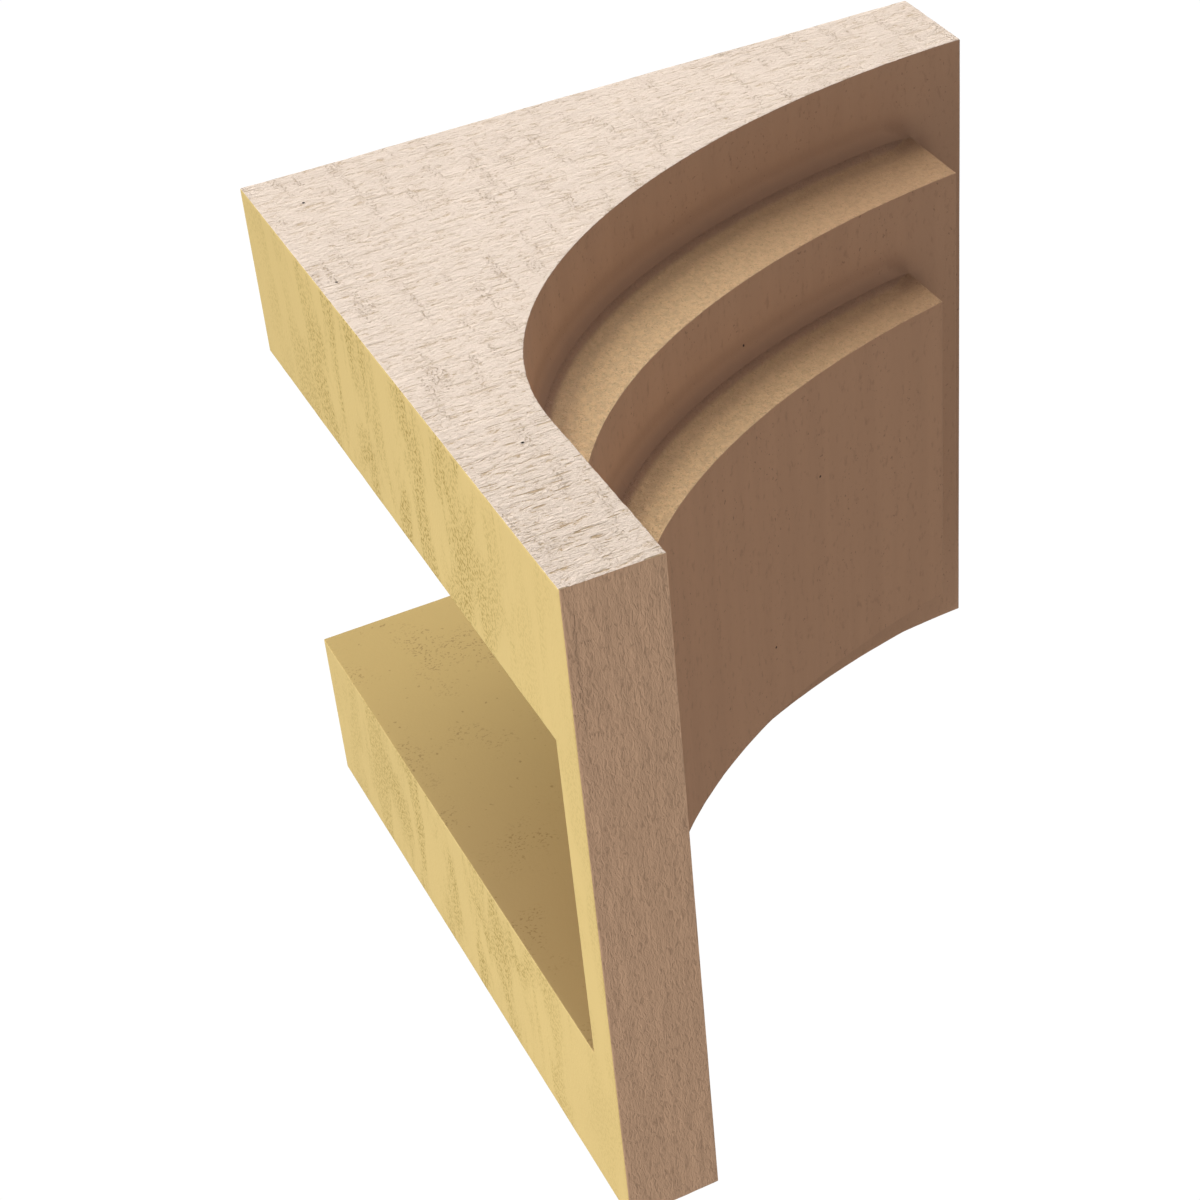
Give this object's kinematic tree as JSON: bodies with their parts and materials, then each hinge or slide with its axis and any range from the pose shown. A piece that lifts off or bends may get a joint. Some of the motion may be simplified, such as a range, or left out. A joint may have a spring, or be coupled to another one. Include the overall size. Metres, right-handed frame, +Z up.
{
  "type": "corbel",
  "caption": "Hollow moulded corbel with a rough-sawn timber face, a stepped concave front, and a recess open to the wall and the top.",
  "frame": {"origin": "on the wall plane, in the middle of the width, at half height of the strip of back face below the recess", "axes": "+Y into the wall, so the corbel projects towards -Y; +X across its width; +Z up, towards the beam or shelf"},
  "size_m": [0.3048, 0.3048, 0.3048],
  "materials": {
    "rough_sawn_skin": "matt, moulded with rough-sawn timber texture; bare yellow foam on the back and in the recess"
  },
  "bodies": {
    "root": {"corbel": "rough_sawn_skin"}
  },
  "joints": []
}
